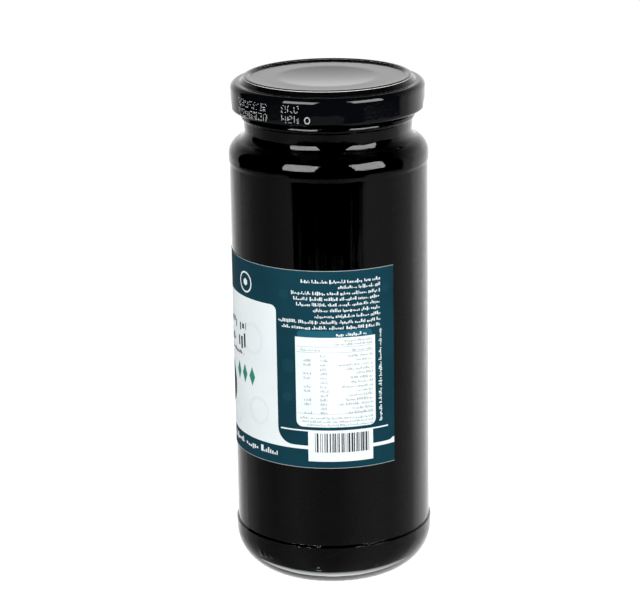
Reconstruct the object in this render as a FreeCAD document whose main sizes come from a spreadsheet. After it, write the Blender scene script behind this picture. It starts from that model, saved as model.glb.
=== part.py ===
"""Tall glass jar of black olives, closed with a twist-off metal lid.

The jar stands on its base with the axis on Z and the origin at the centre of the base.
The panel with the table and the bar code faces -Y, and the main panel of the label
nearly -X.  Five pieces make it, all turned about the same axis: the glass jar, the
olives in their brine up to the fill level, the pressed steel lid, the ring of sealing
compound that sits between the lid and the glass rim, and the paper label wrapped round
the straight part of the glass.
"""

import FreeCAD, Part
import math
import os

import Sketcher

# Driving sizes in millimetres, each with the piece of the jar that it sets.
SIZES = {
    # outside of the glass
    "panel_radius": 31.0,  # straight wall that carries the label
    "rim_height": 158.65,  # from the table to the rim of the glass
    "heel_band_step": 0.5,  # how far the band above the heel stands out from the panel
    "shoulder_band_step": 0.25,  # the same for the band under the shoulder
    "heel_inset": 7.0,  # from the panel in to the flat ring that the jar stands on
    "heel_round": 13.0,  # round between that ring and the heel band
    "bearing_width": 2.2,
    "punt_rise": 1.4,  # how far the middle of the base is pushed up
    "punt_slope": 3.0,
    "heel_band_width": 2.7,
    "band_blend": 2.0,  # rounds that lead from the bands into the panel
    "shoulder_drop": 23.35,  # from the rim down to where the shoulder turns in
    "shoulder_band_width": 1.6,
    "shoulder_round": 5.0,
    "neck_round": 3.2,
    "neck_step": 4.9,  # from the panel in to the neck
    # mouth of the glass, under the lid
    "bead_drop": 12.45,  # from the rim down to the bead
    "bead_width": 2.4,
    "bead_round": 1.35,
    "finish_step": 0.5,  # how far the wall above the bead stands out from the neck
    "rim_round": 0.8,
    "thread_count": 4,
    "thread_clearance": 0.1,  # thread over the lug that holds it down
    "thread_width": 1.9,
    "thread_depth": 1.3,
    "thread_arc": 52.0,
    # inside of the glass
    "wall": 2.3,
    "neck_wall": 2.1,
    "floor_height": 6.0,
    "floor_round": 8.0,
    "inner_shoulder_round": 3.0,
    "inner_neck_round": 5.5,
    "headspace": 6.2,  # from the rim down to the brine
    # ring of sealing compound
    "seal_thickness": 0.8,
    # lid
    "sheet": 0.25,  # tinplate, with its lacquer
    "ring_overhang": 0.6,  # how far the top ring reaches past the rim, inside and out
    "ring_round": 2.2,  # sides of the top ring
    "crest_half_width": 0.9,
    "panel_drop": 1.25,  # from the crest down to the top panel
    "ledge_drop": 1.75,  # from the crest down to the ledge round the top ring
    "button_inset": 7.9,  # from the top ring in to the safety button
    "button_sink": 0.45,
    "button_slope": 6.0,
    "lid_corner": 1.7,
    "skirt_taper": 0.3,  # how far the skirt draws in towards its hem
    "skirt_drop": 10.3,  # from the crest of the top ring to the hem
    "hem_clearance": 0.15,  # hem round the threads
    "hem_width": 1.9,
    "hem_height": 2.0,
    "hem_round": 0.8,
    "lug_clearance": 0.25,  # lugs round the glass between the threads
    "lug_arc": 18.0,
    "lug_thickness": 0.9,
    # label
    "label_thickness": 0.1,
    "label_bottom": 41.0,
    "label_height": 64.0,
    "label_length": 146.5,
    "label_turn": 173.2,  # angle about Z from +X to the middle of the label
}
SHEET = "Sizes"
FULL_TURN = 360.0


class Size:
    """A length that knows its value and the spreadsheet expression that gives it."""

    def __init__(self, text, value):
        self.text = text
        self.value = value

    @staticmethod
    def of(thing):
        return thing if isinstance(thing, Size) else Size(repr(float(thing)), float(thing))

    def __add__(self, other):
        other = Size.of(other)
        return Size(f"({self.text} + {other.text})", self.value + other.value)

    def __sub__(self, other):
        other = Size.of(other)
        return Size(f"({self.text} - {other.text})", self.value - other.value)

    def __mul__(self, other):
        other = Size.of(other)
        return Size(f"({self.text} * {other.text})", self.value * other.value)

    def __truediv__(self, other):
        other = Size.of(other)
        return Size(f"({self.text} / {other.text})", self.value / other.value)

    def root(self):
        return Size(f"sqrt({self.text})", math.sqrt(self.value))


ZERO = Size("0", 0.0)
COUNTER, CLOCKWISE = 1, -1  # which way a round stretch turns on its way to the next corner


def make_sheet(doc):
    """The spreadsheet of driving sizes, and a Size for each of them."""
    sheet = doc.addObject("Spreadsheet::Sheet", SHEET)
    for row, (alias, value) in enumerate(SIZES.items(), start=1):
        sheet.set(f"A{row}", alias)
        sheet.set(f"B{row}", str(value))
        sheet.setAlias(f"B{row}", alias)
    doc.recompute()
    return {alias: Size(f"{SHEET}.{alias}", float(value)) for alias, value in SIZES.items()}


def make_body(doc, label):
    body = doc.addObject("PartDesign::Body", label)
    body.Label = label
    return body


def origin_plane(body, role):
    return next(f for f in body.Origin.OriginFeatures if f.Role == role)


def arc_between(start, end, radius, turn):
    """The arc shorter than a half turn from start to end, and which of its ends is first."""
    chord = end - start
    middle = (start + end) * 0.5
    reach = math.sqrt(max(radius**2 - chord.Length**2 / 4, 0.0))
    left = FreeCAD.Vector(-chord.y, chord.x, 0).normalize()
    centre = middle + left * reach * turn
    first, last = (start, end) if turn == COUNTER else (end, start)
    angles = [math.atan2(p.y - centre.y, p.x - centre.x) for p in (first, last)]
    if angles[1] < angles[0]:
        angles[1] += 2 * math.pi
    circle = Part.Circle(centre, FreeCAD.Vector(0, 0, 1), radius)
    return Part.ArcOfCircle(circle, angles[0], angles[1])


def place_corner(sketch, geometry, end, corner):
    """Holds one corner of an outline at its radius and height."""
    for kind, size, axis in (("DistanceX", corner[0], -2), ("DistanceY", corner[1], -1)):
        if size.text == ZERO.text:
            sketch.addConstraint(Sketcher.Constraint("PointOnObject", geometry, end, axis))
            continue
        held = Sketcher.Constraint(kind, -1, 1, geometry, end, size.value)
        index = sketch.addConstraint(held)
        sketch.setExpression(f"Constraints[{index}]", size.text)


def make_outline(body, label, corners):
    """A closed sketch on the XZ plane.

    Each corner is (radius, height), and (radius, height, round, turn) where the stretch
    that leads to the next corner is an arc.
    """
    sketch = body.newObject("Sketcher::SketchObject", label)
    sketch.AttachmentSupport = (origin_plane(body, "XZ_Plane"), [""])
    sketch.MapMode = "FlatFace"
    points = [FreeCAD.Vector(c[0].value, c[1].value, 0) for c in corners]
    firsts = []
    for i, corner in enumerate(corners):
        start, end = points[i], points[(i + 1) % len(points)]
        if len(corner) == 2:
            sketch.addGeometry(Part.LineSegment(start, end), False)
            firsts.append(1)
            continue
        sketch.addGeometry(arc_between(start, end, corner[2].value, corner[3]), False)
        firsts.append(1 if corner[3] == COUNTER else 2)
    for i, corner in enumerate(corners):
        following = (i + 1) % len(corners)
        meeting = ("Coincident", i, 3 - firsts[i], following, firsts[following])
        sketch.addConstraint(Sketcher.Constraint(*meeting))
    for i, corner in enumerate(corners):
        place_corner(sketch, i, firsts[i], corner)
        if len(corner) > 2:
            index = sketch.addConstraint(Sketcher.Constraint("Radius", i, corner[2].value))
            sketch.setExpression(f"Constraints[{index}]", corner[2].text)
    return sketch


def revolve(body, label, corners, angle=None):
    """Turns an outline about the Z axis, all the way or by an angle centred on +X."""
    sketch = make_outline(body, f"{label}_outline", corners)
    turned = body.newObject("PartDesign::Revolution", label)
    turned.Profile = sketch
    turned.ReferenceAxis = (sketch, ["V_Axis"])
    turned.Angle = FULL_TURN
    if angle is not None:
        turned.Midplane = True
        turned.setExpression("Angle", angle.text)
    sketch.Visibility = False
    return turned


def repeat_round(body, label, feature, count):
    """Repeats a feature evenly round the Z axis."""
    pattern = body.newObject("PartDesign::PolarPattern", label)
    pattern.Originals = [feature]
    pattern.Axis = (origin_plane(body, "Z_Axis"), [""])
    pattern.Angle = FULL_TURN
    pattern.setExpression("Occurrences", count.text)
    body.Tip = pattern
    return pattern


def neck_radius(d):
    return d["panel_radius"] - d["neck_step"]


def finish_radius(d):
    """Outside of the mouth, between the threads."""
    return neck_radius(d) + d["finish_step"]


def mouth_radius(d):
    return neck_radius(d) - d["neck_wall"]


def shoulder_height(d):
    return d["rim_height"] - d["shoulder_drop"]


def rim_middle(d):
    """Radius of the middle of the glass rim, under the crest of the lid's top ring."""
    return (finish_radius(d) + mouth_radius(d)) / 2


def ring_outer(d):
    return finish_radius(d) + d["ring_overhang"]


def ring_inner(d):
    return mouth_radius(d) - d["ring_overhang"]


def hem_inner(d):
    return finish_radius(d) + d["thread_depth"] + d["hem_clearance"]


def crest(d):
    """The height of the top ring of the lid, which is the top of the whole jar."""
    return d["rim_height"] + d["seal_thickness"] + d["sheet"]


def hem_bottom(d):
    return crest(d) - d["skirt_drop"]


def lug_top(d):
    return hem_bottom(d) + d["lug_thickness"] + d["hem_round"] / 2


def band_step(d, radius, height, step, outwards):
    """The two equal rounds that move the wall in or out by a small step, going up."""
    rise = (d["band_blend"] * step * 4 - step * step).root()
    half = step / 2
    first, second = (CLOCKWISE, COUNTER) if outwards else (COUNTER, CLOCKWISE)
    middle = radius + half if outwards else radius - half
    return [
        (radius, height, d["band_blend"], first),
        (middle, height + rise / 2, d["band_blend"], second),
    ], height + rise


def shoulder_curve(wide, narrow, height, outer_round, inner_round):
    """A round that turns the wall in, the reverse round that turns it up into the neck,
    and the height at which the neck starts."""
    across = (narrow + inner_round) - (wide - outer_round)
    both = outer_round + inner_round
    rise = (both * both - across * across).root()
    share = outer_round / both
    meeting = ((wide - outer_round) + across * share, height + rise * share)
    curve = [
        (wide, height, outer_round, COUNTER),
        (*meeting, inner_round, CLOCKWISE),
    ]
    return curve, height + rise


def jar_outside(d):
    """The outside of the glass, from the middle of the base up to the rim."""
    heel = d["panel_radius"] + d["heel_band_step"]
    shoulder = d["panel_radius"] + d["shoulder_band_step"]
    bearing = d["panel_radius"] - d["heel_inset"]
    inset = heel - d["heel_round"] - bearing
    heel_top = (d["heel_round"] * d["heel_round"] - inset * inset).root()
    step_down, panel_low = band_step(
        d, heel, heel_top + d["heel_band_width"], d["heel_band_step"], outwards=False
    )
    rise = (
        d["band_blend"] * d["shoulder_band_step"] * 4
        - d["shoulder_band_step"] * d["shoulder_band_step"]
    ).root()
    turn_in = shoulder_height(d)
    panel_high = turn_in - d["shoulder_band_width"] - rise
    step_up, _ = band_step(
        d, d["panel_radius"], panel_high, d["shoulder_band_step"], outwards=True
    )
    neck = neck_radius(d)
    curve, neck_low = shoulder_curve(shoulder, neck, turn_in, d["shoulder_round"], d["neck_round"])
    bead = d["rim_height"] - d["bead_drop"]
    finish = finish_radius(d)
    return [
        (ZERO, d["punt_rise"]),
        (bearing - d["bearing_width"] - d["punt_slope"], d["punt_rise"]),
        (bearing - d["bearing_width"], ZERO),
        (bearing, ZERO, d["heel_round"], COUNTER),
        (heel, heel_top),
        *step_down,
        (d["panel_radius"], panel_low),
        *step_up,
        (shoulder, turn_in - d["shoulder_band_width"]),
        *curve,
        (neck, neck_low),
        (neck, bead, d["bead_round"], COUNTER),
        (finish, bead + d["bead_width"]),
        (finish, d["rim_height"] - d["rim_round"], d["rim_round"], COUNTER),
        (finish - d["rim_round"], d["rim_height"]),
    ]


def jar_inside(d):
    """The inside of the glass, from the middle of the floor up to the neck."""
    cavity = d["panel_radius"] - d["wall"]
    mouth = mouth_radius(d)
    curve, neck_low = shoulder_curve(
        cavity, mouth, shoulder_height(d), d["inner_shoulder_round"], d["inner_neck_round"]
    )
    return [
        (ZERO, d["floor_height"]),
        (cavity - d["floor_round"], d["floor_height"], d["floor_round"], COUNTER),
        (cavity, d["floor_height"] + d["floor_round"]),
        *curve,
        (mouth, neck_low),
    ]


def reversed_path(path):
    """The same path walked the other way: each round belongs to the stretch before it."""
    back = []
    for i in range(len(path) - 1, -1, -1):
        here = path[i][:2]
        leading = path[i - 1] if i > 0 else ()
        back.append((*here, leading[2], -leading[3]) if len(leading) > 2 else here)
    return back


def make_jar(doc, d):
    """The glass: a hollow turned wall, with short threads round its mouth."""
    body = make_body(doc, "glass_jar")
    mouth = mouth_radius(d)
    rim_inside = [
        (mouth + d["rim_round"], d["rim_height"], d["rim_round"], COUNTER),
        (mouth, d["rim_height"] - d["rim_round"]),
    ]
    outline = jar_outside(d) + rim_inside + reversed_path(jar_inside(d))
    revolve(body, "jar_wall", outline)
    low = lug_top(d) + d["thread_clearance"]
    wall = finish_radius(d) - d["neck_wall"] / 2
    tip = finish_radius(d) + d["thread_depth"]
    slope = d["thread_width"] / 4
    thread = [
        (wall, low),
        (tip, low),
        (tip, low + d["thread_width"] - slope),
        (tip - slope, low + d["thread_width"]),
        (wall, low + d["thread_width"]),
    ]
    feature = revolve(body, "jar_thread", thread, d["thread_arc"])
    repeat_round(body, "jar_threads", feature, d["thread_count"])
    return body


def make_contents(doc, d):
    """The olives in their brine, which fill the glass up to the level under the lid."""
    body = make_body(doc, "contents")
    mouth = mouth_radius(d)
    level = d["rim_height"] - d["headspace"]
    revolve(body, "fill", jar_inside(d) + [(mouth, level), (ZERO, level)])
    return body


def make_seal(doc, d):
    """The ring of sealing compound, seated on the rim under the lid's top ring."""
    body = make_body(doc, "lid_seal")
    middle = rim_middle(d)
    half = d["crest_half_width"]
    low, high = d["rim_height"], d["rim_height"] + d["seal_thickness"]
    ring = [(middle - half, low), (middle + half, low), (middle + half, high), (middle - half, high)]
    revolve(body, "seal_ring", ring)
    return body


def lid_top_side(d):
    """The upper side of the lid's sheet, from its middle out to the hem."""
    top = crest(d)
    panel = top - d["panel_drop"]
    ledge = top - d["ledge_drop"]
    middle = rim_middle(d)
    half = d["crest_half_width"]
    hem = hem_inner(d) + d["hem_width"]
    skirt = hem + d["skirt_taper"]
    button = ring_inner(d) - d["button_inset"]
    return [
        (ZERO, panel - d["button_sink"]),
        (button - d["button_slope"], panel - d["button_sink"]),
        (button, panel),
        (ring_inner(d), panel, d["ring_round"], CLOCKWISE),
        (middle - half, top),
        (middle + half, top, d["ring_round"], CLOCKWISE),
        (ring_outer(d), ledge),
        (skirt - d["lid_corner"], ledge, d["lid_corner"], CLOCKWISE),
        (skirt, ledge - d["lid_corner"]),
        (hem, hem_bottom(d) + d["hem_round"], d["hem_round"], CLOCKWISE),
        (hem - d["hem_round"], hem_bottom(d)),
    ]


def lid_under_side(d):
    """The lower side of the lid's sheet, from the hem back to the middle."""
    top = crest(d) - d["sheet"]
    panel = top - d["panel_drop"]
    ledge = top - d["ledge_drop"]
    middle = rim_middle(d)
    half = d["crest_half_width"]
    hem_in = hem_inner(d)
    hem = hem_in + d["hem_width"]
    inner = hem + d["skirt_taper"] - d["sheet"]
    button = ring_inner(d) - d["button_inset"]
    hem_top = hem_bottom(d) + d["hem_height"]
    corner = d["lid_corner"] - d["sheet"]
    return [
        (hem_in + d["hem_round"], hem_bottom(d), d["hem_round"], CLOCKWISE),
        (hem_in, hem_bottom(d) + d["hem_round"]),
        (hem_in, hem_top),
        (hem - d["sheet"], hem_top),
        (inner, ledge - corner, corner, COUNTER),
        (inner - corner, ledge),
        (ring_outer(d) - d["sheet"], ledge, d["ring_round"], COUNTER),
        (middle + half, top),
        (middle - half, top, d["ring_round"], COUNTER),
        (ring_inner(d) + d["sheet"], panel),
        (button, panel),
        (button - d["button_slope"], panel - d["button_sink"]),
        (ZERO, panel - d["button_sink"]),
    ]


def make_lid(doc, d):
    """The pressed lid: ringed top, drawn-in skirt, rolled hem, and the lugs in the hem."""
    body = make_body(doc, "lid_shell")
    revolve(body, "lid_sheet", lid_top_side(d) + lid_under_side(d))
    reach = finish_radius(d) + d["lug_clearance"]
    rooted = hem_inner(d) + d["hem_width"] / 2
    low, high = lug_top(d) - d["lug_thickness"], lug_top(d)
    lug = [(reach, low), (rooted, low), (rooted, high), (reach, high)]
    feature = revolve(body, "lid_lug", lug, d["lug_arc"])
    repeat_round(body, "lid_lugs", feature, d["thread_count"])
    return body


def make_label(doc, d):
    """The paper label, wrapped round the straight wall, which leaves a bare strip."""
    body = make_body(doc, "label")
    inner = d["panel_radius"]
    outer = inner + d["label_thickness"]
    low = d["label_bottom"]
    high = low + d["label_height"]
    arc = d["label_length"] / outer * (180.0 / math.pi)
    revolve(body, "label_wrap", [(inner, low), (outer, low), (outer, high), (inner, high)], arc)
    body.Placement = FreeCAD.Placement(FreeCAD.Vector(), FreeCAD.Rotation(d["label_turn"].value, 0, 0))
    body.setExpression("Placement.Rotation.Angle", d["label_turn"].text)
    return body


def check(doc, bodies):
    """Stops the build if a feature failed or a piece isn't one valid closed solid."""
    failed = [o.Label for o in doc.Objects if {"Invalid", "Error"} & set(o.State)]
    if failed:
        raise RuntimeError(f"these objects failed: {failed}")
    for body in bodies:
        shape = body.Shape
        if shape.isNull() or not shape.isValid() or len(shape.Solids) != 1:
            raise RuntimeError(f"{body.Label} isn't one valid solid")


def main():
    doc = FreeCAD.newDocument("olive_jar")
    sizes = make_sheet(doc)
    makers = (make_jar, make_contents, make_seal, make_lid, make_label)
    bodies = [make(doc, sizes) for make in makers]
    doc.recompute()
    check(doc, bodies)
    os.makedirs("parts", exist_ok=True)
    for body in bodies:
        body.Shape.exportStep(f"parts/{body.Label}.step")
        print(f"{body.Label}: {body.Shape.Volume / 1000:.2f} cm3")


main()
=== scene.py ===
"""Looks for a tall glass jar of black olives in brine, with a black twist-off lid.

Lengths in the code are millimetres until they go into a mesh.  Round the jar, an angle
or an arc is counted from the front, -Y, and grows towards +X.
"""

import math
import random

import bpy
from mathutils import Matrix, Vector


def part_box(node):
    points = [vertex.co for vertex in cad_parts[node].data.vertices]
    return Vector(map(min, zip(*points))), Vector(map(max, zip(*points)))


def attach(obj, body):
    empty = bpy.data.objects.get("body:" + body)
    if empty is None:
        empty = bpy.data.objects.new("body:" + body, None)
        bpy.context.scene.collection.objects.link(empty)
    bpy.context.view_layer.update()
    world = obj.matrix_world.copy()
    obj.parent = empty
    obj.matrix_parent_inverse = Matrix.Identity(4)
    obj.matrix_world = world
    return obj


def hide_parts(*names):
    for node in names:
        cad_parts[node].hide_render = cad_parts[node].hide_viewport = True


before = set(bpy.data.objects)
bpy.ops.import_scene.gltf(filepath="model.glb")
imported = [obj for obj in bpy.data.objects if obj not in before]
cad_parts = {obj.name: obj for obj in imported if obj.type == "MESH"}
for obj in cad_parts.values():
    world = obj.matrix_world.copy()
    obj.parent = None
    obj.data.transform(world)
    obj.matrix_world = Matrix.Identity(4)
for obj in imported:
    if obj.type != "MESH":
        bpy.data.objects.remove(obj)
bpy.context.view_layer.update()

MM = 0.001
BODY = "root"


# ---------------------------------------------------------------- sizes from the frame
def in_mm(corner):
    return Vector(corner) / MM


JAR_HIGH = in_mm(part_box("glass_jar")[1])
LID_LOW, LID_HIGH = (in_mm(corner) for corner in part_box("lid_shell"))
LABEL_LOW, LABEL_HIGH = (in_mm(corner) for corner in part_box("label"))
FILL_LOW, FILL_HIGH = (in_mm(corner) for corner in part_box("contents"))

HEEL_WIDE = JAR_HIGH.x  # the widest the jar gets, over its heel
PANEL = HEEL_WIDE - 0.5  # straight wall behind the label
SHOULDER = PANEL + 0.25
NECK = PANEL - 4.9
FINISH = NECK + 0.5  # the mouth, between the threads
BORE = NECK - 2.1  # inside of the mouth
CAVITY = FILL_HIGH.x  # inside of the straight wall
RIM = JAR_HIGH.z
TURN_IN = RIM - 23.35  # where the shoulder turns in
BEAD = RIM - 12.45
FLOOR = FILL_LOW.z
LEVEL = FILL_HIGH.z
SKIRT = LID_HIGH.x
CREST = LID_HIGH.z
HEM = LID_LOW.z


# ------------------------------------------------------------------- small mesh helpers
def deselect():
    bpy.ops.object.select_all(action="DESELECT")


def edit_mode():
    bpy.ops.object.mode_set(mode="EDIT")


def object_mode():
    bpy.ops.object.mode_set(mode="OBJECT")


def active(obj):
    deselect()
    obj.select_set(True)
    bpy.context.view_layer.objects.active = obj


def named(name):
    obj = bpy.context.object
    obj.name = name
    obj.data.name = name
    return obj


def smooth(obj, angle=35.0):
    active(obj)
    bpy.ops.object.shade_smooth_by_angle(angle=math.radians(angle))


def bow(centre, radius, start, end, parts):
    """Points along an arc about a centre, from one angle to another in degrees."""
    turns = [math.radians(start + (end - start) * i / parts) for i in range(parts + 1)]
    return [(centre[0] + radius * math.cos(t), centre[1] + radius * math.sin(t)) for t in turns]


def run(start, end, parts):
    """Points along a straight run, without its first one."""
    steps = [i / parts for i in range(1, parts + 1)]
    return [tuple(a + (b - a) * k for a, b in zip(start, end)) for k in steps]


def lathe(name, outline, steps):
    """Draws an outline of (radius, height) point by point and spins it about the axis."""
    deselect()
    bpy.ops.mesh.primitive_plane_add(size=MM, location=(0, 0, 0))
    obj = named(name)
    edit_mode()
    bpy.ops.mesh.select_all(action="SELECT")
    bpy.ops.mesh.merge(type="CENTER")
    bpy.ops.transform.translate(value=(outline[0][0] * MM, 0, outline[0][1] * MM))
    for here, there in zip(outline, outline[1:]):
        move = ((there[0] - here[0]) * MM, 0, (there[1] - here[1]) * MM)
        bpy.ops.mesh.extrude_vertices_move(TRANSFORM_OT_translate={"value": move})
    bpy.ops.mesh.select_all(action="SELECT")
    bpy.ops.mesh.spin(steps=steps, angle=math.tau, center=(0, 0, 0), axis=(0, 0, 1))
    bpy.ops.mesh.select_all(action="SELECT")
    bpy.ops.mesh.remove_doubles(threshold=2e-6)
    bpy.ops.mesh.normals_make_consistent(inside=False)
    object_mode()
    return obj


def around(x, y):
    """Angle round the jar from the front, in degrees."""
    return math.degrees(math.atan2(x, -y))


def apart(a, b):
    """Smallest difference between two angles, in degrees."""
    return abs((a - b + 180) % 360 - 180)


def ease(value, low, high):
    """0 at low, 1 at high, with a soft start and end."""
    k = min(max((value - low) / (high - low), 0.0), 1.0)
    return k * k * (3 - 2 * k)


def reshape(obj, move):
    """Moves each vertex to what move(radius, angle, height) gives, in millimetres."""
    for vertex in obj.data.vertices:
        x, y, z = (part / MM for part in vertex.co)
        radius = math.hypot(x, y)
        angle = around(x, y)
        new_radius, new_angle, new_height = move(radius, angle, z)
        turn = math.radians(new_angle)
        place = (new_radius * math.sin(turn), -new_radius * math.cos(turn), new_height)
        vertex.co = Vector(place) * MM
    obj.data.update()


# -------------------------------------------------------------------------- materials
def colour(code):
    """The linear colour of an sRGB hex value."""
    parts = [int(code[i : i + 2], 16) / 255 for i in (1, 3, 5)]
    line = [p / 12.92 if p <= 0.04045 else ((p + 0.055) / 1.055) ** 2.4 for p in parts]
    return (*line, 1.0)


def grey(value):
    return (value, value, value, 1.0)


def add(tree, kind, links=(), **settings):
    """Adds a node, sets its properties and sockets, and links sockets to outputs."""
    node = tree.nodes.new(kind)
    sockets = {}
    for key, value in settings.items():
        if key == "values":
            sockets = value
        else:
            setattr(node, key, value)
    for key, value in sockets.items():
        node.inputs[key].default_value = value
    for key, output in dict(links).items():
        tree.links.new(output, node.inputs[key])
    return node


def new_material(name):
    material = bpy.data.materials.new(name)
    material.use_nodes = True
    tree = material.node_tree
    tree.nodes.clear()
    shader = add(tree, "ShaderNodeBsdfPrincipled")
    add(tree, "ShaderNodeOutputMaterial", {"Surface": shader.outputs["BSDF"]})
    return material, tree, shader


def set_shader(shader, **values):
    for key, value in values.items():
        shader.inputs[key.replace("_", " ")].default_value = value


def place_of(tree, scale=(1, 1, 1)):
    coordinate = add(tree, "ShaderNodeTexCoord")
    links = {"Vector": coordinate.outputs["Object"]}
    return add(tree, "ShaderNodeMapping", links, values={"Scale": scale}).outputs["Vector"]


def soda_lime_glass():
    """Soda-lime glass, blown in a mould.

    Clear with the faintest green, mirror smooth, and gently wavy where it chilled
    against the iron.
    """
    material, tree, shader = new_material("soda_lime_glass")
    set_shader(shader, Base_Color=colour("#f4faf6"), Roughness=0.0, IOR=1.5)
    shader.inputs["Transmission Weight"].default_value = 1.0
    place = place_of(tree, (1, 1, 0.45))
    waves = add(
        tree,
        "ShaderNodeTexNoise",
        {"Vector": place},
        values={"Scale": 95.0, "Detail": 1.5, "Roughness": 0.45},
    )
    bump = add(
        tree,
        "ShaderNodeBump",
        {"Height": waves.outputs["Fac"]},
        values={"Strength": 0.35, "Distance": 0.00035},
    )
    tree.links.new(bump.outputs["Normal"], shader.inputs["Normal"])
    return material


def wetted_glass():
    """The inner face of the glass where brine wets it.

    Brine bends light nearly as much as glass, so the real face reflects very little.
    Here it is left out: light passes straight through.
    """
    material, tree, shader = new_material("glass_wetted_by_brine")
    set_shader(shader, Base_Color=(1, 1, 1, 1), Roughness=0.0, IOR=1.0, Alpha=0.0)
    return material


def dark_brine():
    """Brine stained by ripe olives: deep red brown where thin, black where deep.

    Its IOR is 1, not water's 1.33, because its surface lies in the wall of the glass,
    which has already bent the light.
    """
    material, tree, shader = new_material("olive_brine")
    set_shader(shader, Base_Color=(1, 1, 1, 1), Roughness=0.0, IOR=1.0)
    shader.inputs["Transmission Weight"].default_value = 1.0
    stain = add(
        tree,
        "ShaderNodeVolumeAbsorption",
        values={"Color": colour("#b86a28"), "Density": 2600.0},
    )
    output = next(n for n in tree.nodes if n.bl_idname == "ShaderNodeOutputMaterial")
    tree.links.new(stain.outputs["Volume"], output.inputs["Volume"])
    return material


def olive_skin():
    """Skin of black-ripe table olives: near black, waxy, with a few paler freckles.

    Its IOR is near 1, because the skin lies in brine and not in air.
    """
    material, tree, shader = new_material("black_olive_skin")
    place = place_of(tree)
    mottle = add(
        tree,
        "ShaderNodeTexNoise",
        {"Vector": place},
        values={"Scale": 320.0, "Detail": 4.0, "Roughness": 0.6},
    )
    ramp = add(tree, "ShaderNodeValToRGB", {"Fac": mottle.outputs["Fac"]})
    ramp.color_ramp.elements[0].position = 0.35
    ramp.color_ramp.elements[0].color = colour("#0b0706")
    ramp.color_ramp.elements[1].position = 0.72
    ramp.color_ramp.elements[1].color = colour("#1a110d")
    bump = add(
        tree,
        "ShaderNodeBump",
        {"Height": mottle.outputs["Fac"]},
        values={"Strength": 0.3, "Distance": 0.0002},
    )
    tree.links.new(ramp.outputs["Color"], shader.inputs["Base Color"])
    tree.links.new(bump.outputs["Normal"], shader.inputs["Normal"])
    set_shader(shader, Roughness=0.7, IOR=1.02)
    return material


def lacquered_tinplate():
    """Tinplate with a stoved black lacquer: black, wet-looking, faint orange peel."""
    material, tree, shader = new_material("lacquered_tinplate")
    place = place_of(tree)
    peel = add(
        tree,
        "ShaderNodeTexNoise",
        {"Vector": place},
        values={"Scale": 900.0, "Detail": 2.0, "Roughness": 0.5},
    )
    swell = add(
        tree,
        "ShaderNodeTexNoise",
        {"Vector": place},
        values={"Scale": 70.0, "Detail": 1.0, "Roughness": 0.5},
    )
    both = add(
        tree,
        "ShaderNodeMath",
        {0: peel.outputs["Fac"], 1: swell.outputs["Fac"]},
        operation="ADD",
    )
    bump = add(
        tree,
        "ShaderNodeBump",
        {"Height": both.outputs["Value"]},
        values={"Strength": 0.25, "Distance": 0.00008},
    )
    rough = add(
        tree,
        "ShaderNodeMapRange",
        {"Value": swell.outputs["Fac"]},
        values={"To Min": 0.03, "To Max": 0.06},
    )
    tree.links.new(bump.outputs["Normal"], shader.inputs["Normal"])
    tree.links.new(rough.outputs["Result"], shader.inputs["Roughness"])
    set_shader(shader, Base_Color=colour("#040507"), IOR=1.5)
    return material


def sealing_compound():
    """Plastisol sealing compound, poured and cured: soft off-white with a dull sheen."""
    material, tree, shader = new_material("plastisol_compound")
    place = place_of(tree)
    cloud = add(tree, "ShaderNodeTexNoise", {"Vector": place}, values={"Scale": 400.0})
    ramp = add(tree, "ShaderNodeValToRGB", {"Fac": cloud.outputs["Fac"]})
    ramp.color_ramp.elements[0].color = colour("#d8d4c8")
    ramp.color_ramp.elements[1].color = colour("#e8e5dc")
    tree.links.new(ramp.outputs["Color"], shader.inputs["Base Color"])
    set_shader(shader, Roughness=0.6)
    return material


def coated_paper(name, code, other, roughness=0.65, gloss=0.06):
    """Coated label paper, offset printed: smooth, a soft gloss, and a very fine tooth.

    The ink lies a little lighter and darker in patches, from one colour to the other.
    """
    material, tree, shader = new_material(name)
    place = place_of(tree)
    lay = add(
        tree,
        "ShaderNodeTexNoise",
        {"Vector": place},
        values={"Scale": 60.0, "Detail": 5.0, "Roughness": 0.6},
    )
    ramp = add(tree, "ShaderNodeValToRGB", {"Fac": lay.outputs["Fac"]})
    ramp.color_ramp.elements[0].position = 0.3
    ramp.color_ramp.elements[0].color = colour(code)
    ramp.color_ramp.elements[1].position = 0.7
    ramp.color_ramp.elements[1].color = colour(other)
    tooth = add(
        tree,
        "ShaderNodeTexNoise",
        {"Vector": place},
        values={"Scale": 4000.0, "Detail": 2.0},
    )
    bump = add(
        tree,
        "ShaderNodeBump",
        {"Height": tooth.outputs["Fac"]},
        values={"Strength": 0.12, "Distance": 0.00004},
    )
    tree.links.new(ramp.outputs["Color"], shader.inputs["Base Color"])
    tree.links.new(bump.outputs["Normal"], shader.inputs["Normal"])
    set_shader(shader, Roughness=roughness, IOR=1.45)
    shader.inputs["Specular IOR Level"].default_value = gloss
    return material


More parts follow.
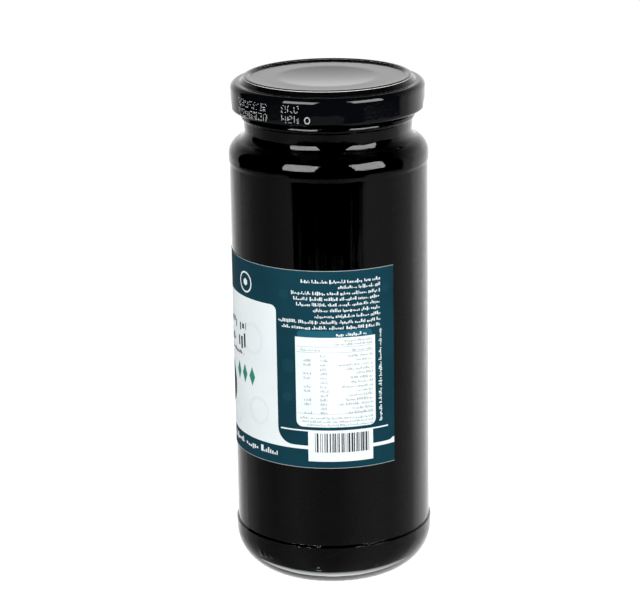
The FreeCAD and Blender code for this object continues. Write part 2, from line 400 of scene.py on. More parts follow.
GLASS = soda_lime_glass()
WETTED = wetted_glass()
BRINE = dark_brine()
SKIN = olive_skin()
LACQUER = lacquered_tinplate()
COMPOUND = sealing_compound()
TEAL = coated_paper("coated_paper_teal_ink", "#062b36", "#0b333f")
TEAL_PALE = coated_paper("coated_paper_pale_teal_ink", "#0a313c", "#103844")
TEAL_HEADER = coated_paper("coated_paper_header_ink", "#144858", "#174d5e")
WHITE = coated_paper("coated_paper_unprinted", "#c1c8ca", "#c8cfd0")
WHITE_GREY = coated_paper("coated_paper_pale_grey_ink", "#bcc4c6", "#c2c9cb")
# Mid-grey ink for the grey print; the same material also draws the painted edge highlight lines
# along the label's top and bottom.
INK_GREY_AND_EDGE_HIGHLIGHT = coated_paper("coated_paper_mid_grey_ink_and_painted_edge_highlight", "#868d8f", "#909799")
INK_DARK = coated_paper("coated_paper_charcoal_ink", "#26292b", "#303436")
INK_GREEN = coated_paper("coated_paper_green_ink", "#246b5a", "#2d7866")
CODE_INK = coated_paper("ink_jet_marking_ink", "#b4b7b6", "#c6c9c8", 0.5)


# ------------------------------------------------------------------------- the glass
def smooth_step_out(radius, height, step, rise, parts):
    """Points where the wall moves out or in by a step over a short rise, going up."""
    points = []
    for i in range(parts + 1):
        k = i / parts
        points.append((radius + step * ease(k, 0, 1), height + rise * k))
    return points


def shoulder_rounds(wide, narrow, outer, inner, parts):
    """The shoulder's two rounds: in from the wall, then up again into the neck."""
    across = (narrow + inner) - (wide - outer)
    rise = math.sqrt((outer + inner) ** 2 - across**2)
    turn = math.degrees(math.atan2(rise, across))
    first = bow((wide - outer, TURN_IN), outer, 0, turn, parts)
    second = bow((narrow + inner, TURN_IN + rise), inner, 180 + turn, 180, parts)
    return first + second[1:]


def glass_outside():
    heel_round, bearing = 13.0, PANEL - 7.0
    heel_centre = (HEEL_WIDE - heel_round, math.sqrt(heel_round**2 - 5.5**2))
    base = [(0.0, 1.4), *run((0.0, 1.4), (17.4, 1.4), 4)]
    base += bow((18.0, 0.2), 1.2, 90, 45, 4)[1:]
    base += bow((bearing - 1.2, 1.3), 1.3, 225, 282, 8)
    heel = bow(heel_centre, heel_round, -63, 0, 44)
    top = heel_centre[1] + 2.7
    band = [(HEEL_WIDE, top - 0.25)]
    band += bow((HEEL_WIDE - 0.08, top - 0.05), 0.08, 0, 48, 3)
    band += bow((PANEL + 0.08, top + 0.5), 0.08, 228, 180, 3)
    band += [(PANEL, top + 0.7), (PANEL, top + 2.0)]
    step = smooth_step_out(PANEL, TURN_IN - 3.0, 0.25, 1.4, 8)
    shoulder = shoulder_rounds(SHOULDER, NECK, 5.0, 3.2, 22)
    bead = bow((NECK - 0.35, BEAD + 1.2), 1.42, -62, 52, 12)
    mouth = run((FINISH, BEAD + 2.6), (FINISH, RIM - 0.8), 22)
    rim = bow((FINISH - 0.8, RIM - 0.8), 0.8, 0, 90, 6)[1:]
    return base + heel + band + step + shoulder + bead + mouth + rim


def glass_inside():
    rim = bow((BORE + 0.8, RIM - 0.8), 0.8, 90, 180, 6)
    neck = run((BORE, RIM - 0.8), (BORE, LEVEL), 2)
    shoulder = shoulder_rounds(CAVITY, BORE, 3.0, 5.5, 12)[::-1]
    wall = run((CAVITY, TURN_IN), (CAVITY, FLOOR + 8.0), 3)
    floor = bow((CAVITY - 8.0, FLOOR + 8.0), 8.0, 0, -90, 18)[1:]
    return rim + neck + shoulder + wall + floor + run(floor[-1], (0.0, FLOOR), 3)


KNURLS = 60
THREADS = (0.0, 90.0, 180.0, 270.0)
# Plain raised marks on the heel: angle, half its width in degrees, foot and top.
HEEL_MARKS = (
    (-48.0, 1.3, 8.0, 10.6), (-44.0, 1.3, 8.0, 10.6), (-39.5, 1.8, 8.4, 10.2),
    (-13.5, 1.5, 7.0, 8.2), (-9.5, 0.9, 6.6, 7.4), (25.0, 1.1, 7.0, 8.8),
)  # fmt: skip


def knurl_and_thread(radius, angle, height):
    """Grips cut round the bearing ring, and short sloping threads round the mouth."""
    if height < 1.0 and radius > 21.0:
        ring = ease(radius, 21.2, 22.2) * (1 - ease(radius, 24.2, 25.6))
        groove = 0.5 - 0.5 * math.cos(math.radians(angle) * KNURLS)
        height += 0.22 * ring * ease(groove, 0.35, 0.75)
    if radius > CAVITY and 5.0 < height < 12.0:
        for middle, half, foot, top in HEEL_MARKS:
            across = 1 - ease(apart(angle, middle), half * 0.7, half * 1.3)
            along = ease(height, foot - 0.3, foot + 0.1) * (1 - ease(height, top - 0.1, top + 0.3))
            radius = min(radius + 0.2 * across * along, HEEL_WIDE)
    if radius > FINISH - 0.05 and BEAD + 3.0 < height < RIM - 1.0:
        for start in THREADS:
            along = (angle - start + 180) % 360 - 180
            middle = HEM + 2.6 + 0.02 * (along + 26)
            side = 1 - ease(abs(height - middle), 0.35, 1.1)
            end = 1 - ease(abs(along), 20, 27)
            radius += 1.2 * side * end
    return radius, angle, height


def make_glass():
    obj = lathe("jar_glass", glass_outside() + glass_inside()[1:], 300)
    reshape(obj, knurl_and_thread)
    for material in (GLASS, WETTED):
        obj.data.materials.append(material)
    for face in obj.data.polygons:
        x, y, z = (part / MM for part in face.center)
        level_face = z < LEVEL and math.hypot(x, y) < CAVITY + 0.02
        inward = (face.normal.x * x + face.normal.y * y) / max(math.hypot(x, y), 0.1) < -0.03
        flat = face.normal.z > 0.5 and z < FLOOR + 9.0
        face.material_index = 1 if level_face and (inward or flat) and z > FLOOR - 0.5 else 0
    smooth(obj, 40)
    return obj


# ---------------------------------------------------------------------- the contents
INTO_WALL = 0.12  # how far the brine reaches into the glass, so that no air shows


def make_brine():
    """The brine: it fills the glass, creeps a little up its wall, and reaches into it."""
    out = INTO_WALL
    floor = [(0.0, FLOOR - out), *run((0.0, FLOOR - out), (CAVITY - 8.0, FLOOR - out), 3)]
    corner = bow((CAVITY - 8.0, FLOOR + 8.0), 8.0 + out, -90, 0, 18)[1:]
    wall = run((CAVITY + out, FLOOR + 8.0), (CAVITY + out, TURN_IN), 3)
    shoulder = [(r + out, z) for r, z in shoulder_rounds(CAVITY, BORE, 3.0, 5.5, 12)]
    top = [(BORE + out, LEVEL - 0.1), (BORE - 0.2, LEVEL - 0.35), (BORE - 1.2, LEVEL - 0.8)]
    top += run((BORE - 1.2, LEVEL - 0.8), (0.0, LEVEL - 0.8), 3)
    obj = lathe("olive_brine", floor + corner + wall + shoulder + top, 180)
    obj.data.materials.append(BRINE)
    smooth(obj, 40)
    return obj


OLIVE_RADIUS, OLIVE_LONG = 8.2, 1.28  # millimetres, and length over width
OLIVE_LAYERS, OLIVES_ROUND, LAYER_RISE = 7, 8, 18.6
OLIVE_CLEAR = 1.3  # from the olives' widest to the glass


def make_olives():
    """Whole pitted olives packed against the glass, modelled once and copied."""
    deselect()
    bpy.ops.mesh.primitive_uv_sphere_add(segments=24, ring_count=16, radius=OLIVE_RADIUS * MM)
    olive = named("olives")
    edit_mode()
    bpy.ops.mesh.select_all(action="SELECT")
    bpy.ops.transform.resize(value=(1, 1, OLIVE_LONG))
    object_mode()
    for vertex in olive.data.vertices:
        height = vertex.co.z / (10.5 * MM)
        taper = 1 - 0.10 * max(height, 0) ** 2
        near = 1 - ease(math.hypot(vertex.co.x, vertex.co.y) / MM, 1.0, 2.8)
        vertex.co.x *= taper
        vertex.co.y *= taper
        if height < 0:
            vertex.co.z += 3.0 * MM * near
    draw = random.Random(7)
    copies = []
    for layer in range(OLIVE_LAYERS):
        rise = FLOOR + 12.0 + layer * LAYER_RISE
        for place in range(OLIVES_ROUND):
            angle = 360 * (place + 0.5 * (layer % 2)) / OLIVES_ROUND + draw.uniform(-5, 5)
            lean = Matrix.Rotation(math.radians(draw.uniform(-28, 28)), 4, "X")
            roll = Matrix.Rotation(math.radians(draw.uniform(-12, 12)), 4, "Y")
            flip = Matrix.Rotation(math.pi * draw.randint(0, 1), 4, "X")
            size = Matrix.Scale(draw.uniform(0.92, 1.0), 4)
            reach = CAVITY - OLIVE_CLEAR - OLIVE_RADIUS
            shift = Vector((reach, 0, rise + draw.uniform(-1.5, 1.5))) * MM
            turn = Matrix.Rotation(math.radians(angle), 4, "Z")
            mesh = olive.data.copy()
            mesh.transform(turn @ Matrix.Translation(shift) @ lean @ roll @ flip @ size)
            copy = bpy.data.objects.new("olive", mesh)
            bpy.context.collection.objects.link(copy)
            copies.append(copy)
    bpy.data.objects.remove(olive)
    deselect()
    for copy in copies:
        copy.select_set(True)
    bpy.context.view_layer.objects.active = copies[0]
    bpy.ops.object.join()
    obj = named("olives")
    limit = CAVITY - 0.7

    def inside(radius, angle, height):
        return min(radius, limit), angle, max(height, FLOOR + 0.2)

    reshape(obj, inside)
    obj.data.materials.append(SKIN)
    smooth(obj, 60)
    return obj


# --------------------------------------------------------------------------- the lid
def raised(radius, height, inner, outer, drop_in, drop_out, tilt):
    """The top ring: rounded over on both sides, with flanks of one tilt in degrees."""
    lean = math.radians(tilt)
    bend = radius * (1 - math.cos(lean))
    reach = radius * math.sin(lean)
    points = []
    low = height - drop_in
    foot = inner - reach - (drop_in - 2 * bend) / math.tan(lean) - reach
    points += bow((foot, low + radius), radius, -90, tilt - 90, 8)
    points += bow((inner, height - radius), radius, 90 + tilt, 90, 8)
    points += bow((outer, height - radius), radius, 90, 90 - tilt, 8)
    low = height - drop_out
    foot = outer + reach + (drop_out - 2 * bend) / math.tan(lean) + reach
    return points + bow((foot, low + radius), radius, 270 - tilt, 270, 8)


def lid_outline():
    sheet = 0.25
    top, panel, ledge = CREST, CREST - 0.7, CREST - 1.75
    middle = (FINISH + BORE) / 2
    button, sink, hem = 15.6, 0.45, SKIRT - 0.12
    dish = (0.25, 0.5, 0.7, 0.85, 0.94, 1.0)
    ring = raised(0.7, top, middle - 0.35, middle + 0.25, top - panel, top - ledge, 50)
    upper = [(0.0, panel - sink)]
    upper += [(button * k, panel - sink * (1 - k * k)) for k in dish]
    upper += [(button + 1.5, panel), (button + 4.0, panel)]
    upper += ring
    upper += bow((SKIRT - 1.7, ledge - 1.7), 1.7, 90, 0, 14)
    upper += run((SKIRT, ledge - 1.7), (hem, HEM + 0.95), 8)
    upper += bow((hem - 0.95, HEM + 0.95), 0.95, 0, -90, 12)[1:]
    under = bow((hem - 1.15, HEM + 0.85), 0.85, 270, 90, 12)
    under += [(hem - 0.6, HEM + 2.0), (SKIRT - sheet - 0.15, HEM + 2.4)]
    under += run((SKIRT - sheet - 0.12, HEM + 2.5), (SKIRT - sheet, ledge - 1.7), 6)
    under += bow((SKIRT - 1.7, ledge - 1.7), 1.7 - sheet, 0, 90, 10)[1:]
    under += [(r, z - sheet) for r, z in ring[::-1]]
    under += [(button + 1.5, panel - sheet)]
    under += [(button * k, panel - sink * (1 - k * k) - sheet) for k in dish[::-1]]
    return upper + under + [(0.0, panel - sink - sheet)]


LUGS = (0.0, 90.0, 180.0, 270.0)


def press_lugs(radius, angle, height):
    """Presses the hem in and up at the four lugs, which leaves shallow arches."""
    near = min(apart(angle, lug - 1.5) for lug in LUGS)
    press = 1 - ease(near, 5.5, 12.5)
    if press > 0 and height < HEM + 3.4 and radius > 26.0:
        low = 1 - ease(height, HEM + 1.2, HEM + 3.0)
        inner = 1 - ease(radius, SKIRT - 1.6, SKIRT - 0.9)
        radius -= press * (0.35 * low + 0.8 * inner * low)
        height += 0.25 * press * low
    return radius, angle, height


def make_lid():
    obj = lathe("twist_off_lid", lid_outline(), 300)
    reshape(obj, press_lugs)
    obj.data.materials.append(LACQUER)
    smooth(obj, 50)
    return obj


glass = make_glass()
brine = make_brine()
olives = make_olives()
lid = make_lid()

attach(glass, BODY)
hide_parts("glass_jar")
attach(brine, BODY)
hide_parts("contents")
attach(olives, BODY)
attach(lid, BODY)
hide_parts("lid_shell")
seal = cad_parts["lid_seal"]
seal.data.materials.clear()
seal.data.materials.append(COMPOUND)


# ---------------------------------------------------------------- paper label and inks
# The label is drawn flat, s along the wall from the front and z up, then wrapped on.
WRAP = -LABEL_LOW.x  # outer radius of the paper
LABEL_LEFT, LABEL_RIGHT = -125.6, 20.8
LABEL_FOOT, LABEL_TOP = LABEL_LOW.z, LABEL_HIGH.z
CENTRE = -52.5  # middle of the front panel
BAND = LABEL_FOOT + 6.2  # foot of the white ground
STRIP = 1.2  # longest flat facet along the wrap
# How far each layer of ink stands off the paper, thick enough to keep them apart.
GROUND_LIFT, PANEL_LIFT, FIELD_LIFT, PRINT_LIFT = 0.014, 0.028, 0.042, 0.056


def patch(left, foot, right, top, rounds=()):
    """A flat patch; rounds names corners as (left or right, low or high, radius)."""
    deselect()
    bpy.ops.mesh.primitive_plane_add(size=MM, location=(0, 0, 0))
    obj = named("patch")
    edit_mode()
    bpy.ops.mesh.select_all(action="SELECT")
    bpy.ops.transform.resize(value=(right - left, top - foot, 1))
    bpy.ops.transform.translate(value=((left + right) / 2 * MM, (foot + top) / 2 * MM, 0))
    for x, y, radius in rounds:
        bpy.ops.mesh.select_all(action="DESELECT")
        object_mode()
        aim = Vector((left if x < 0 else right, foot if y < 0 else top, 0)) * MM
        for vertex in obj.data.vertices:
            vertex.select = (vertex.co - aim).length < 0.02 * MM
        edit_mode()
        bpy.ops.mesh.bevel(offset=radius * MM, segments=8, affect="VERTICES")
    object_mode()
    return obj


def disc(x, y, radius, corners=40, hole=0.0, tall=1.0):
    """A flat disc, or a flat ring when it has a hole."""
    deselect()
    bpy.ops.mesh.primitive_circle_add(
        vertices=corners, radius=radius * MM, fill_type="NGON", location=(0, 0, 0)
    )
    obj = named("disc")
    edit_mode()
    bpy.ops.mesh.select_all(action="SELECT")
    if hole:
        bpy.ops.mesh.inset(thickness=(radius - hole) * MM)
        bpy.ops.mesh.delete(type="FACE")
        bpy.ops.mesh.select_all(action="SELECT")
    bpy.ops.transform.resize(value=(1, tall, 1))
    bpy.ops.transform.translate(value=(x * MM, y * MM, 0))
    object_mode()
    return obj


def copies(source, places):
    """Copies of one flat shape of unit size at (x, y, width, height)."""
    made = []
    for x, y, width, height in places:
        mesh = source.data.copy()
        scale = Matrix.Diagonal((width, height, 1, 1))
        mesh.transform(Matrix.Translation((x * MM, y * MM, 0)) @ scale)
        copy = bpy.data.objects.new("mark", mesh)
        bpy.context.collection.objects.link(copy)
        made.append(copy)
    bpy.data.objects.remove(source)
    return made


def boxes(places):
    """Small oblongs given as (left, foot, right, top)."""
    unit = patch(-0.5, -0.5, 0.5, 0.5)
    middles = [((a + c) / 2, (b + d) / 2, c - a, d - b) for a, b, c, d in places]
    return copies(unit, middles)


def lay_on(name, shapes, material, lift, radius_at=None, edge=None, thick=0.02):
    """Joins flat shapes, cuts them into strips, gives them thickness, wraps them on."""
    deselect()
    for shape in shapes:
        shape.select_set(True)
    bpy.context.view_layer.objects.active = shapes[0]
    if len(shapes) > 1:
        bpy.ops.object.join()
    obj = named(name)
    xs = [vertex.co.x / MM for vertex in obj.data.vertices]
    low, high = math.floor(min(xs) / STRIP) * STRIP, max(xs)
    edit_mode()
    while low < high:
        if low > min(xs):
            bpy.ops.mesh.select_all(action="SELECT")
            bpy.ops.mesh.bisect(plane_co=(low * MM, 0, 0), plane_no=(1, 0, 0))
        low += STRIP
    object_mode()
    solid = obj.modifiers.new("thickness", "SOLIDIFY")
    solid.thickness = thick * MM
    solid.offset = -1
    solid.use_even_offset = False
    if edge:
        solid.material_offset_rim = 1
    active(obj)
    bpy.ops.object.modifier_apply(modifier="thickness")
    for vertex in obj.data.vertices:
        s, z, off = (part / MM for part in vertex.co)
        radius = (radius_at(z) if radius_at else WRAP) + lift
        turn = s / WRAP
        place = ((radius + off) * math.sin(turn), -(radius + off) * math.cos(turn), z)
        vertex.co = Vector(place) * MM
    obj.data.update()
    obj.data.materials.append(material)
    if edge:
        obj.data.materials.append(edge)
    smooth(obj, 30)
    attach(obj, BODY)
    return obj


def line_of_marks(draw, left, right, foot, height, bold=1.0):
    """Marks that stand for a line of small type: upright strokes, in words."""
    marks = []
    at = left
    while at < right - 0.3:
        word = min(at + draw.uniform(2.0, 5.5) * height, right)
        while at < word - 0.2:
            wide = draw.uniform(0.14, 0.42) * height * bold
            tall = height * draw.choice((0.3, 0.42, 0.5, 0.6, 0.85, 0.95))
            drop = height * draw.choice((0, 0, 0, 0.12, -0.15))
            marks.append((at, foot + drop, min(at + wide, word), foot + tall))
            at += wide + 0.17 * height
        at += 0.38 * height
    return marks


def side_of(marks, mirror):
    """Marks as drawn, or turned over to the other side of the front panel."""
    if not mirror:
        return marks
    return [(2 * CENTRE - c, b, 2 * CENTRE - a, d) for a, b, c, d in marks]


LINES = (
    (-9.2, 101.6), (2.3, 99.8), (-12.4, 97.9), (-11.7, 96.1), (-10.8, 94.3),
    (-5.5, 92.5), (-5.0, 90.6), (-17.0, 88.7), (-15.8, 86.9),
)  # fmt: skip


def back_panel(draw, mirror):
    """One back panel: lines of small type, a table, and a footer.  Returns its marks."""
    white, grey_marks, header = [], [], []
    for left, z in LINES:
        white += line_of_marks(draw, left, 15.8, z - 0.55, 1.15)
    upright = line_of_marks(draw, 55.4, 85.4, 0.0, 1.1)
    white += [(16.1 - d, a, 16.1 - b, c) for a, b, c, d in upright]
    white.append((-16.9, 53.1, 18.3, 53.55))
    header += line_of_marks(draw, 1.5, 11.2, 84.2, 1.15, 1.2)
    for z in (80.69, 78.88, 58.95):
        grey_marks.append((-10.9, z - 0.06, 13.4, z + 0.06))
    for row in range(14):
        z = 77.9 - row * 1.42 - 0.5
        grey_marks += line_of_marks(draw, 13.1 - draw.uniform(4, 11.5), 13.1, z, 0.85)
        grey_marks += line_of_marks(draw, -3.6, draw.uniform(-1.6, -0.6), z, 0.85)
        if row % 3:
            grey_marks += line_of_marks(draw, -8.8, -6.3, z, 0.85)
    for left, z in ((4.0, 82.6), (0.5, 81.5), (6.5, 79.5)):
        grey_marks += line_of_marks(draw, left, 13.1, z - 0.3, 0.8)
    grey_marks += line_of_marks(draw, -9.8, -3.5, 79.4, 0.8)
    for left, z in ((-10.2, 57.6), (-9.5, 56.4), (-8.0, 55.3)):
        grey_marks += line_of_marks(draw, left, 13.1, z - 0.3, 0.75)
    return [side_of(marks, mirror) for marks in (white, grey_marks, header)]


def make_label():
    draw = random.Random(21)
    paper = patch(LABEL_LEFT, LABEL_FOOT, LABEL_RIGHT, LABEL_TOP)
    paper = lay_on("label_paper", [paper], TEAL, 0.0, edge=WHITE, thick=0.11)
    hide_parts("label")

    inner = -17.9  # right edge of the white front panel
    outer = 2 * CENTRE - inner
    front = patch(outer, BAND + 1.9, inner, 92.9, ((-1, 1, 2.0), (1, 1, 2.0)))
    band = patch(LABEL_LEFT + 0.05, BAND, LABEL_RIGHT - 0.05, BAND + 1.9)
    corners = [patch(inner, BAND + 1.9, -11.5, 55.0)]
    corners.append(patch(2 * CENTRE + 11.5, BAND + 1.9, outer, 55.0))
    lay_on("label_white_ground", [front, band, *corners], WHITE, GROUND_LIFT)

    panels, tables, heads, whites, greys, pale = [], [], [], [], [], []
    for mirror in (False, True):
        right = LABEL_RIGHT + (0.02 if mirror else 0.01)
        low, high = (inner, right) if not mirror else (2 * CENTRE - right, outer)
        near, far = (-1, 1) if not mirror else (1, -1)
        rounds = ((near, -1, 5.2), (far, -1, 2.6))
        panels.append(patch(low, 48.35, high, 86.0, rounds))
        spot = side_of([(-11.4, 54.6, 13.9, 83.7), (-10.7, 83.7, 12.9, 85.9)], mirror)
        table = spot[0]
        tables.append(patch(*table, ((-1, -1, 2.0), (1, -1, 2.0))))
        heads.append(patch(*spot[1], ((-1, 1, 1.2), (1, 1, 1.2))))
        white, grey_marks, header = back_panel(draw, mirror)
        whites += boxes(white + header)
        greys += boxes(grey_marks)
    for x, y, radius in ((-14, 74, 2.2), (-14.4, 64, 1.5), (17.8, 98, 1.6), (-15, 97, 1.6)):
        pale.append(disc(x, y, radius))
        pale.append(disc(2 * CENTRE - x, y, radius))
    lay_on("label_teal_panels", panels, TEAL, PANEL_LIFT)
    lay_on("label_pale_spots", pale, TEAL_PALE, FIELD_LIFT)
    lay_on("label_headers", heads, TEAL_HEADER, FIELD_LIFT)

    code = patch(-7.7, 43.3, 12.9, 53.1)
    lay_on("label_white_fields", [*tables, code], WHITE, FIELD_LIFT)
    bars, at = [], -5.55
    module = 17.45 / 95
    while at < 11.9 - module:
        wide = draw.choice((1, 1, 1, 2, 2, 3)) * module
        bars.append((at, 46.3, min(at + wide, 11.9), 52.6))
        at += wide + draw.choice((1, 1, 2, 2, 3)) * module
    lay_on("label_bar_strip", boxes(bars), INK_DARK, PRINT_LIFT)

    whites += boxes(line_of_marks(draw, -60.0, -17.6, 43.9, 2.2, 1.15))
    # Thin mid-grey lines just inside the label's top and bottom edges: a painted highlight that
    # stands in for light caught by the paper's cut edge.
    ends = (LABEL_LEFT + 0.1, LABEL_RIGHT - 0.1)
    greys += boxes([(ends[0], z - 0.08, ends[1], z + 0.08) for z in (41.12, 104.88)])
    for x in (-31.5, -73.5):
        whites.append(disc(x, 97.8, 3.4, hole=2.9))
        whites.append(disc(x, 97.8, 1.2, corners=6))
    lay_on("label_white_print", whites, WHITE, PRINT_LIFT)
    # The grey print, together with the painted edge highlight lines.
    lay_on("label_grey_print_and_painted_edge_highlight", greys, INK_GREY_AND_EDGE_HIGHLIGHT, PRINT_LIFT)

    title = line_of_marks(draw, -74.0, -31.9, 82.0, 5.4, 0.75)
    title += line_of_marks(draw, -70.0, -32.4, 76.0, 5.4, 0.75)
    title += line_of_marks(draw, -66.0, -33.5, 73.2, 1.3)
    dark = boxes(title) + [disc(-47.5, 61.5, 6.2, tall=1.15)]
    lay_on("label_title_print", dark, INK_DARK, FIELD_LIFT)
    lozenge = disc(0, 0, 1.0, corners=4)
    spots = [(x, y, 1.5, 3.1) for x, y in ((-37.5, 67.5), (-33.2, 67.5), (-28.9, 67.5))]
    spots += [(x, y, 1.5, 3.1) for x, y in ((-61.5, 55.5), (-65.8, 55.5), (-70.1, 55.5))]
    lay_on("label_green_print", copies(lozenge, spots), INK_GREEN, FIELD_LIFT)
    faint = [disc(x, y, radius, hole=radius - 1.0) for x, y, radius in (
        (-26.0, 57.0, 4.6), (-28.5, 80.0, 5.2), (-40.0, 52.6, 3.6), (-79.0, 60.0, 4.8),
        (-77.0, 79.0, 5.5), (-64.0, 51.8, 3.2),
    )]  # fmt: skip
    lay_on("label_faint_rings", faint, WHITE_GREY, PANEL_LIFT)


def skirt_at(height):
    """Radius of the lid's skirt at a height."""
    top, low = CREST - 3.45, HEM + 0.95
    share = min(max((top - height) / (top - low), 0), 1)
    return SKIRT - 0.12 * share


def make_code():
    """Two rows of ink-jet dots on the lid's skirt, in groups that spell nothing."""
    draw = random.Random(5)
    pitch = 0.34
    dots = []
    groups = ((-64, -35, 153.3), (-27.5, -16, 153.6), (-64, -35, 150.25), (-27.5, -14.5, 150.5))
    for start, stop, foot in groups:
        at, end = (math.radians(a) * WRAP for a in (start, stop))
        while at + 4 * pitch < end:
            for column in range(5):
                for row in range(7):
                    edge = column in (0, 4) or row in (0, 3, 6)
                    if draw.random() < (0.42 if edge else 0.08):
                        dots.append((at + column * pitch, foot + row * pitch, 0.12, 0.12))
            at += 6.3 * pitch
    ring = [(math.cos(k * 0.45), math.sin(k * 0.45)) for k in range(14)]
    middle = math.radians(-12.0) * WRAP
    dots += [(middle + 0.8 * a, 151.4 + 0.95 * b, 0.16, 0.16) for a, b in ring]
    unit = disc(0, 0, 1.0, corners=8)
    code = lay_on("lid_code", copies(unit, dots), CODE_INK, 0.015, radius_at=skirt_at)


make_label()
make_code()


# --------------------------------------------------------- floor, surroundings, camera
def make_floor():
    deselect()
    bpy.ops.mesh.primitive_plane_add(size=12.0, location=(0, 0, -0.00002))
    floor = named("studio_floor")
    material, tree, shader = new_material("matt_white_floor")
    set_shader(shader, Base_Color=grey(0.3), Roughness=1.0, Emission_Color=grey(1.0))
    shader.inputs["Emission Strength"].default_value = 0.96
    shader.inputs["Specular IOR Level"].default_value = 0.0
    floor.data.materials.append(material)
    floor.visible_glossy = False


# Brightness of the studio by direction, as (degrees round from the front, brightness).
# Behind the jar stands a pale backdrop; the side of the room where the camera is stays
# dark above the floor.
BACKDROP = (
    (-180, 1.25), (-165, 1.2), (-150, 0.95), (-136, 0.58), (-127, 0.5), (-123, 0.0),
    (92, 0.0), (98, 0.3), (108, 0.38), (116, 0.74), (126, 0.95), (136, 1.12),
    (150, 1.3), (180, 1.25),
)  # fmt: skip
FLOOR_GLOW = (
    (-180, 0.9), (-160, 0.7), (-135, 0.46), (-118, 0.3), (-100, 0.16), (-75, 0.13),
    (-45, 0.22), (-15, 0.15), (5, 0.15), (30, 0.24), (50, 0.28), (75, 0.24),
    (95, 0.32), (115, 0.48), (140, 0.68), (180, 0.9),
)  # fmt: skip
FAR_EDGE = (-14.2, -15.6)  # how far down the floor starts to show, and shows in full
# How much lower the floor starts under the dark patch in front, in radians.
DARK_PATCH = (
    (-180, 0.0), (-50, 0.0), (-42, 0.13), (-12, 0.16), (24, 0.15), (38, 0.12), (45, 0.0),
    (180, 0.0),
)  # fmt: skip
# How the backdrop fades with height.
HEIGHTS = (
    (-90, 1.0), (8, 1.0), (15, 0.72), (22, 0.5), (30, 0.25), (40, 0.08), (48, 0.0),
    (90, 0.0),
)  # fmt: skip


def scale_ramp(tree, value, stops, low, high):
    """A ramp whose stops are (position, brightness) between low and high."""
    share = add(
        tree,
        "ShaderNodeMapRange",
        {"Value": value},
        values={"From Min": low, "From Max": high},
    )
    ramp = add(tree, "ShaderNodeValToRGB", {"Fac": share.outputs["Result"]})
    most = max(b for _, b in stops)
    elements = ramp.color_ramp.elements
    for position, _ in stops[1:-1]:
        elements.new((position - low) / (high - low))
    for element, (_, bright) in zip(elements, stops):
        element.color = grey(bright / most)
    return add(
        tree,
        "ShaderNodeMath",
        {0: ramp.outputs["Color"]},
        operation="MULTIPLY",
        values={1: most},
    ).outputs["Value"]


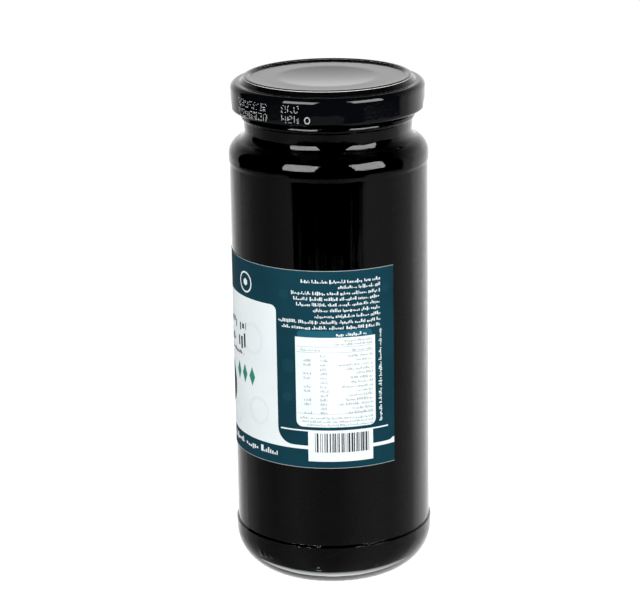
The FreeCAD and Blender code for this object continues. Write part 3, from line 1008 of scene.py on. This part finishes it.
def make_surroundings():
    world = bpy.data.worlds.new("studio")
    world.use_nodes = True
    bpy.context.scene.world = world
    tree = world.node_tree
    tree.nodes.clear()
    direction = add(tree, "ShaderNodeTexCoord").outputs["Generated"]
    parts = add(tree, "ShaderNodeSeparateXYZ", {"Vector": direction}).outputs
    back = add(tree, "ShaderNodeMath", {0: parts["Y"]}, operation="MULTIPLY", values={1: -1.0})
    turn = add(
        tree,
        "ShaderNodeMath",
        {0: parts["X"], 1: back.outputs["Value"]},
        operation="ARCTAN2",
    ).outputs["Value"]
    lift = add(tree, "ShaderNodeMath", {0: parts["Z"]}, operation="ARCSINE").outputs["Value"]
    half, quarter = math.pi, math.pi / 2
    degrees = math.pi / 180
    backdrop = scale_ramp(tree, turn, [(a * degrees, b) for a, b in BACKDROP], -half, half)
    heights = scale_ramp(tree, lift, [(a * degrees, b) for a, b in HEIGHTS], -quarter, quarter)
    glow = scale_ramp(tree, turn, [(a * degrees, b) for a, b in FLOOR_GLOW], -half, half)
    upper = add(tree, "ShaderNodeMath", {0: backdrop, 1: heights}, operation="MULTIPLY")
    # In front, a dark patch with a ragged lower edge covers the start of the floor.
    ragged = add(
        tree,
        "ShaderNodeTexNoise",
        {"Vector": direction},
        values={"Scale": 14.0, "Detail": 6.0, "Roughness": 0.7},
    )
    dark = scale_ramp(tree, turn, [(a * degrees, b) for a, b in DARK_PATCH], -half, half)
    patch_depth = add(
        tree,
        "ShaderNodeMath",
        {0: dark, 1: ragged.outputs["Fac"]},
        operation="MULTIPLY",
    )
    edge = add(
        tree,
        "ShaderNodeMath",
        {0: patch_depth.outputs["Value"], 1: lift},
        operation="ADD",
    )
    below = add(
        tree,
        "ShaderNodeMapRange",
        {"Value": edge.outputs["Value"]},
        values={"From Min": FAR_EDGE[0] * degrees, "From Max": FAR_EDGE[1] * degrees},
    )
    floor_part = add(
        tree,
        "ShaderNodeMath",
        {0: below.outputs["Result"], 1: glow},
        operation="MULTIPLY",
    )
    total = add(
        tree,
        "ShaderNodeMath",
        {0: upper.outputs["Value"], 1: floor_part.outputs["Value"]},
        operation="MAXIMUM",
    )
    room = add(tree, "ShaderNodeBackground", {"Color": total.outputs["Value"]})
    plain = add(tree, "ShaderNodeBackground", values={"Color": grey(1.0)})
    path = add(tree, "ShaderNodeLightPath").outputs
    mix = add(
        tree,
        "ShaderNodeMixShader",
        {0: path["Is Camera Ray"], 1: room.outputs["Background"], 2: plain.outputs["Background"]},
    )
    add(tree, "ShaderNodeOutputWorld", {"Surface": mix.outputs["Shader"]})


def make_softbox(name, turn, lift, far, width, height, radiance):
    """A soft box at an angle round the jar and above the table, aimed at the jar."""
    data = bpy.data.lights.new(name, "AREA")
    data.shape = "RECTANGLE"
    data.size, data.size_y = width, height
    data.energy = radiance * math.pi * width * height
    lamp = bpy.data.objects.new(name, data)
    bpy.context.collection.objects.link(lamp)
    turn, lift = math.radians(turn), math.radians(lift)
    level = math.cos(lift)
    way = Vector((math.sin(turn) * level, -math.cos(turn) * level, math.sin(lift)))
    lamp.location = Vector((0, 0, 0.14)) + way * far
    lamp.rotation_euler = way.to_track_quat("Z", "Y").to_euler()
    lamp.visible_camera = False


CAMERA_BACK, CAMERA_UP = 0.749, 0.3103  # metres from the axis, and above the floor
CAMERA_DOWN = 16.63  # degrees
CAMERA_YAW, CAMERA_ROLL = -0.004545, -0.01612  # radians


def make_camera():
    data = bpy.data.cameras.new("camera")
    data.sensor_width = 36.0
    data.lens = 138.17
    data.clip_start = 0.05
    camera = bpy.data.objects.new("camera", data)
    bpy.context.collection.objects.link(camera)
    down, yaw, roll = math.radians(CAMERA_DOWN), CAMERA_YAW, CAMERA_ROLL
    level = math.cos(down)
    ahead = Vector((math.sin(yaw) * level, math.cos(yaw) * level, -math.sin(down)))
    side = Vector((math.cos(yaw), -math.sin(yaw), 0))
    up = side.cross(ahead)
    across = side * math.cos(roll) + up * math.sin(roll)
    upward = up * math.cos(roll) - side * math.sin(roll)
    camera.matrix_world = Matrix(
        (
            (across.x, upward.x, -ahead.x, 0.0),
            (across.y, upward.y, -ahead.y, -CAMERA_BACK),
            (across.z, upward.z, -ahead.z, CAMERA_UP),
            (0, 0, 0, 1),
        )
    )
    bpy.context.scene.camera = camera


make_floor()
make_surroundings()
make_softbox("left_softbox", -34, 20, 1.25, 0.86, 0.92, 6.5)
make_softbox("right_softbox", 48, 21, 1.25, 0.86, 0.95, 6.5)
make_camera()
bpy.context.scene.view_settings.view_transform = "Standard"
